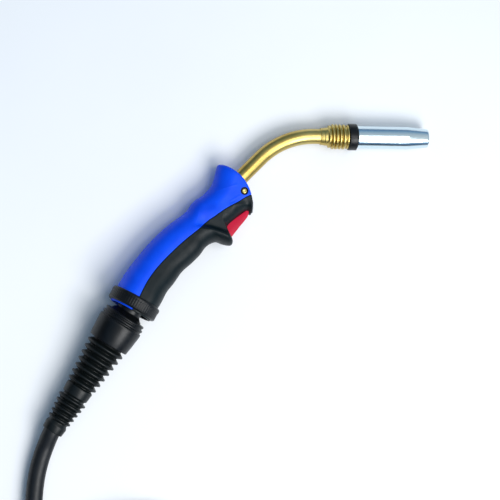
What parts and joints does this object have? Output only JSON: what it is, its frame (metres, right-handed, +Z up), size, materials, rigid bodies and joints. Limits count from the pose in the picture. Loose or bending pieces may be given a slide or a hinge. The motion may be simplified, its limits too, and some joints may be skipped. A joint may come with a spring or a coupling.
{
  "type": "mig welding torch",
  "caption": "MIG welding torch: curved brass neck with nozzle, two-colour trigger handle on a swivel cable support with ribbed boot, coiled cable and machine plug.",
  "frame": {"origin": "on the surface the torch rests on, under the middle of the torch (its cable, coil and plug left out)", "axes": "+X along the gas nozzle towards its tip, +Z up out of the surface the torch lies on, +Y across the nozzle towards the side away from the coiled cable"},
  "size_m": [0.4227, 0.6638, 0.0549],
  "materials": {
    "blue_plastic": "satin moulded plastic",
    "grip_rubber": "soft-touch matt",
    "black_plastic": "satin",
    "boot_rubber": "satin",
    "cable_rubber": "satin",
    "trigger_red": "satin",
    "lead_red": "satin",
    "brass": "satin, lightly aged",
    "copper": "satin copper",
    "chrome": "polished",
    "steel": "satin",
    "fibre": "matt",
    "ceramic": "matt"
  },
  "bodies": {
    "cable": {"bend_protector": "boot_rubber", "cable_core": "cable_rubber", "cable_lead": "cable_rubber", "cable_coil": "cable_rubber", "cable_tail": "cable_rubber", "coil_tie_a": "black_plastic", "coil_tie_b": "black_plastic", "plug_bend_protector": "boot_rubber", "plug_shell_upper": "black_plastic", "plug_shell_lower": "black_plastic", "plug_body": "brass", "plug_pin_face": "black_plastic", "gas_nipple": "brass", "o_ring": "boot_rubber", "liner_nut": "brass", "plug_screw_upper": "steel", "plug_screw_lower": "steel"},
    "support": {"cable_support": "black_plastic"},
    "seat": {"ball_seat": "fibre"},
    "handle": {"shell_left": "blue_plastic", "shell_right": "blue_plastic", "grip_left": "grip_rubber", "grip_right": "grip_rubber", "handle_screw": "steel", "trigger_pin": "steel", "switch_body": "black_plastic", "trigger_spring": "steel", "control_lead_a": "lead_red", "control_lead_b": "lead_red", "handle_cable": "cable_rubber", "neck_outer_tube": "brass", "neck_insulation": "fibre", "neck_inner_tube": "copper", "wire_liner": "steel", "finned_head": "brass", "insulator_ring": "black_plastic", "nozzle_seat": "brass", "nozzle_spring": "steel", "tip_holder": "brass", "gas_diffuser": "ceramic", "contact_tip": "copper", "neck_nut": "brass", "cable_fitting": "brass"},
    "collar": {"locking_collar": "black_plastic"},
    "nozzle": {"gas_nozzle": "chrome"},
    "trigger": {"trigger": "trigger_red"},
    "plunger": {"switch_plunger": "trigger_red"},
    "nut": {"hand_nut": "black_plastic"},
    "pin_a": {"contact_pin_a": "brass"},
    "pin_b": {"contact_pin_b": "brass"}
  },
  "joints": [
    {"name": "support_twist", "type": "hinge", "parent": "cable", "child": "support", "pos_m": [-0.1083, -0.02151, 0.02712], "axis": [-0.5245, -0.8493, -0.0593], "range_deg": [0, 90]},
    {"name": "support_tilt", "type": "hinge", "parent": "support", "child": "seat", "pos_m": [-0.1083, -0.02151, 0.02712], "axis": [0.8508, -0.5255, 0], "range_deg": [0, 16]},
    {"name": "support_swing", "type": "hinge", "parent": "seat", "child": "handle", "pos_m": [-0.1083, -0.02151, 0.02712], "axis": [0, 0.075, 0.9972], "range_deg": [-10, 10]},
    {"name": "collar_turn", "type": "hinge", "parent": "handle", "child": "collar", "pos_m": [-0.1083, -0.02151, 0.02712], "axis": [-0.4924, -0.8679, 0.0653], "range_deg": [0, 45]},
    {"name": "nozzle_pull", "type": "slide", "parent": "handle", "child": "nozzle", "axis": [1, 0, 0], "range_m": [0, 0.078]},
    {"name": "trigger_press", "type": "hinge", "parent": "handle", "child": "trigger", "pos_m": [0.0102, 0.07322, 0.02], "axis": [0, -0.075, -0.9972], "range_deg": [0, 5], "stiffness_Nm_per_rad": 1.2, "springref_deg": -3.44, "deforming": ["trigger_spring"]},
    {"name": "plunger_press", "type": "slide", "parent": "handle", "child": "plunger", "axis": [-0.6198, 0.7826, -0.0588], "range_m": [0, 0.0017]},
    {"name": "hand_nut_turn", "type": "hinge", "parent": "cable", "child": "nut", "pos_m": [0.038, -0.4743, 0.0252], "axis": [1, 0, 0], "continuous": true},
    {"name": "pin_a_press", "type": "slide", "parent": "cable", "child": "pin_a", "axis": [-1, 0, 0], "range_m": [0, 0.003], "stiffness_N_per_m": 250, "springref_m": -0.001},
    {"name": "pin_b_press", "type": "slide", "parent": "cable", "child": "pin_b", "axis": [-1, 0, 0], "range_m": [0, 0.003], "stiffness_N_per_m": 250, "springref_m": -0.001}
  ],
  "couplings": [
    {"joint": "plunger_press", "follows": "trigger_press", "m_per_rad": 0.018}
  ]
}
